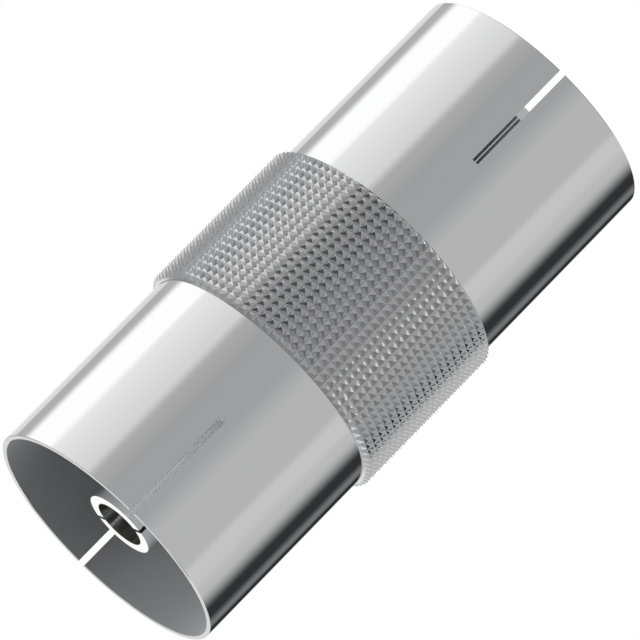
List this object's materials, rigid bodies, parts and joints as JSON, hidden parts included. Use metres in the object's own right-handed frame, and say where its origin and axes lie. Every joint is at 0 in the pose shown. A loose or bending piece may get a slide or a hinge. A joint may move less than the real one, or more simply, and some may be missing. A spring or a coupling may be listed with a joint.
{
  "type": "coaxial antenna adapter",
  "caption": "Straight coaxial aerial coupler: a plated metal tube with a slotted ring socket and a centre pin socket at each end, and a knurled grip round its middle.",
  "frame": {"origin": "centre of the lower rim, in the plane that the adapter stands on", "axes": "+Z along the axis from the lower socket to the upper one; the saw cuts of the sleeves face -Y and +Y"},
  "size_m": [0.0104, 0.0104, 0.0225],
  "materials": {
    "shell_plating": "bright nickel plate on turned brass, finely knurled round the middle",
    "contact_plating": "bright silver plate on turned bronze",
    "insulator": "natural white moulded plastic"
  },
  "bodies": {
    "root": {"outer_shell": "shell_plating", "centre_contact": "contact_plating", "lower_insulator": "insulator", "upper_insulator": "insulator"}
  },
  "joints": []
}
